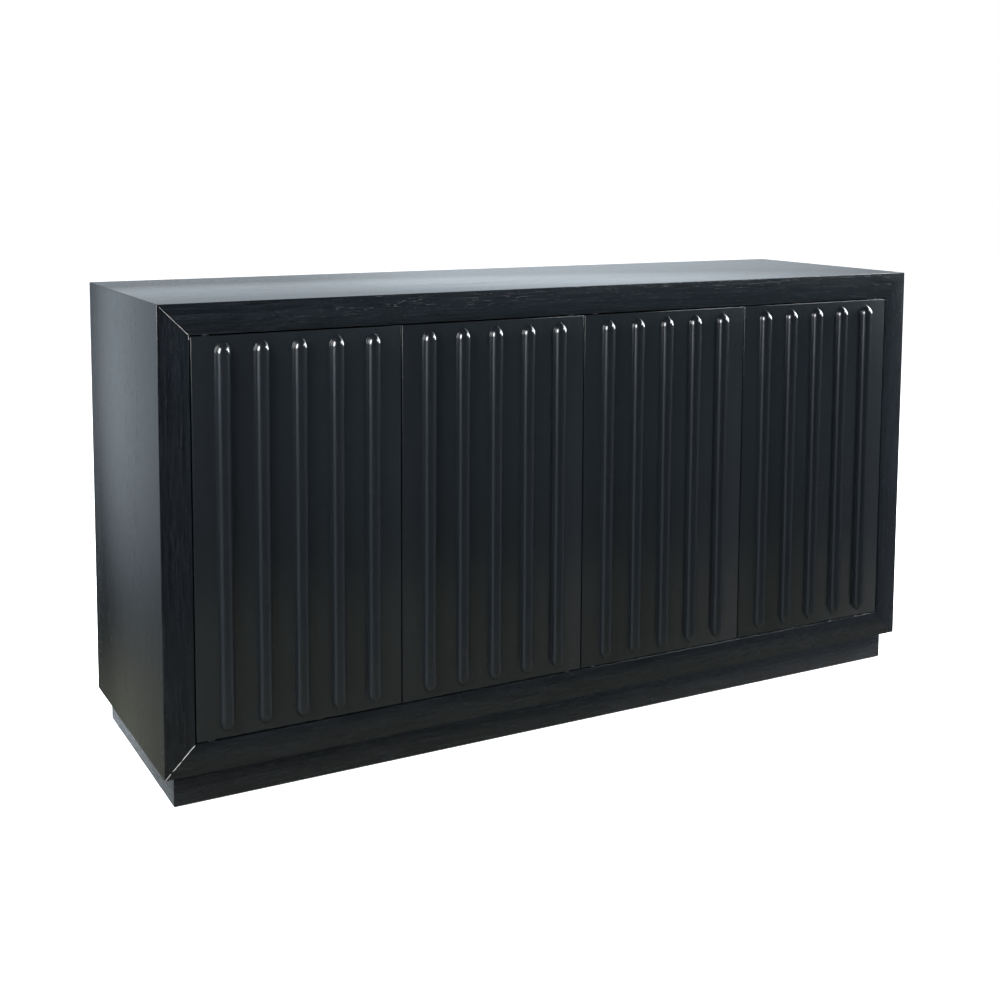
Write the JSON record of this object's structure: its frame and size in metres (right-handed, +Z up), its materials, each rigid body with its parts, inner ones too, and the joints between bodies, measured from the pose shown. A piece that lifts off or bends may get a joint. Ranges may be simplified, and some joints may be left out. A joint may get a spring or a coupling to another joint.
{
  "type": "sideboard",
  "caption": "Low black-stained sideboard on a recessed plinth, with a mitred case and flush push-to-open doors that carry raised half-round ribs.",
  "frame": {"origin": "middle of the footprint on the floor: centre of the bounding box's bottom face", "axes": "+Z up, the doors face -Y, +X along the width to the viewer's right"},
  "size_m": [1.6, 0.4855, 0.844],
  "materials": {
    "case_veneer": "open-grain oak veneer, stained black, satin",
    "door_black": "fine-grained wood, black satin lacquer",
    "plinth_veneer": "open-grain oak veneer, stained black, satin",
    "inside_black": "black matt melamine-like board",
    "bare_wood": "raw birch",
    "zinc_steel": "zinc-plated",
    "nylon": "black moulded nylon"
  },
  "bodies": {
    "case": {"top_panel": "case_veneer", "bottom_panel": "case_veneer", "left_side_panel": "case_veneer", "right_side_panel": "case_veneer", "back_panel": "inside_black", "centre_partition": "inside_black", "left_shelf": "inside_black", "right_shelf": "inside_black", "plinth_front_rail": "plinth_veneer", "plinth_back_rail": "plinth_veneer", "plinth_left_rail": "plinth_veneer", "plinth_right_rail": "plinth_veneer", "plinth_bearer": "bare_wood", "plinth_corner_blocks": "bare_wood", "floor_glides": "nylon", "mitre_splines": "bare_wood", "wood_screws": "zinc_steel", "shelf_pins": "zinc_steel", "pivot_bushes": "nylon", "latch_housings": "nylon"},
    "door_1": {"door_1": "door_black", "door_1_pivots": "zinc_steel", "door_1_strike": "zinc_steel", "door_1_rib_1": "door_black", "door_1_rib_2": "door_black", "door_1_rib_3": "door_black", "door_1_rib_4": "door_black", "door_1_rib_5": "door_black"},
    "door_2": {"door_2": "door_black", "door_2_pivots": "zinc_steel", "door_2_strike": "zinc_steel", "door_2_rib_1": "door_black", "door_2_rib_2": "door_black", "door_2_rib_3": "door_black", "door_2_rib_4": "door_black", "door_2_rib_5": "door_black"},
    "door_3": {"door_3": "door_black", "door_3_pivots": "zinc_steel", "door_3_strike": "zinc_steel", "door_3_rib_1": "door_black", "door_3_rib_2": "door_black", "door_3_rib_3": "door_black", "door_3_rib_4": "door_black", "door_3_rib_5": "door_black"},
    "door_4": {"door_4": "door_black", "door_4_pivots": "zinc_steel", "door_4_strike": "zinc_steel", "door_4_rib_1": "door_black", "door_4_rib_2": "door_black", "door_4_rib_3": "door_black", "door_4_rib_4": "door_black", "door_4_rib_5": "door_black"},
    "latch_1_plunger": {"latch_1_plunger": "zinc_steel", "latch_1_spring": "zinc_steel"},
    "latch_2_plunger": {"latch_2_plunger": "zinc_steel", "latch_2_spring": "zinc_steel"},
    "latch_3_plunger": {"latch_3_plunger": "zinc_steel", "latch_3_spring": "zinc_steel"},
    "latch_4_plunger": {"latch_4_plunger": "zinc_steel", "latch_4_spring": "zinc_steel"}
  },
  "joints": [
    {"name": "door_1_hinge", "type": "hinge", "parent": "case", "child": "door_1", "pos_m": [-0.7195, -0.22025, 0.111], "axis": [0, 0, -1], "range_deg": [0, 110]},
    {"name": "door_2_hinge", "type": "hinge", "parent": "case", "child": "door_2", "pos_m": [-0.02725, -0.22025, 0.111], "axis": [0, 0, 1], "range_deg": [0, 90]},
    {"name": "door_3_hinge", "type": "hinge", "parent": "case", "child": "door_3", "pos_m": [0.02725, -0.22025, 0.111], "axis": [0, 0, -1], "range_deg": [0, 90]},
    {"name": "door_4_hinge", "type": "hinge", "parent": "case", "child": "door_4", "pos_m": [0.7195, -0.22025, 0.111], "axis": [0, 0, 1], "range_deg": [0, 110]},
    {"name": "latch_1_press", "type": "slide", "parent": "case", "child": "latch_1_plunger", "axis": [0, 1, 0], "range_m": [0, 0.003], "stiffness_N_per_m": 800, "springref_m": -0.002, "deforming": ["latch_1_spring"]},
    {"name": "latch_2_press", "type": "slide", "parent": "case", "child": "latch_2_plunger", "axis": [0, 1, 0], "range_m": [0, 0.003], "stiffness_N_per_m": 800, "springref_m": -0.002, "deforming": ["latch_2_spring"]},
    {"name": "latch_3_press", "type": "slide", "parent": "case", "child": "latch_3_plunger", "axis": [0, 1, 0], "range_m": [0, 0.003], "stiffness_N_per_m": 800, "springref_m": -0.002, "deforming": ["latch_3_spring"]},
    {"name": "latch_4_press", "type": "slide", "parent": "case", "child": "latch_4_plunger", "axis": [0, 1, 0], "range_m": [0, 0.003], "stiffness_N_per_m": 800, "springref_m": -0.002, "deforming": ["latch_4_spring"]}
  ]
}
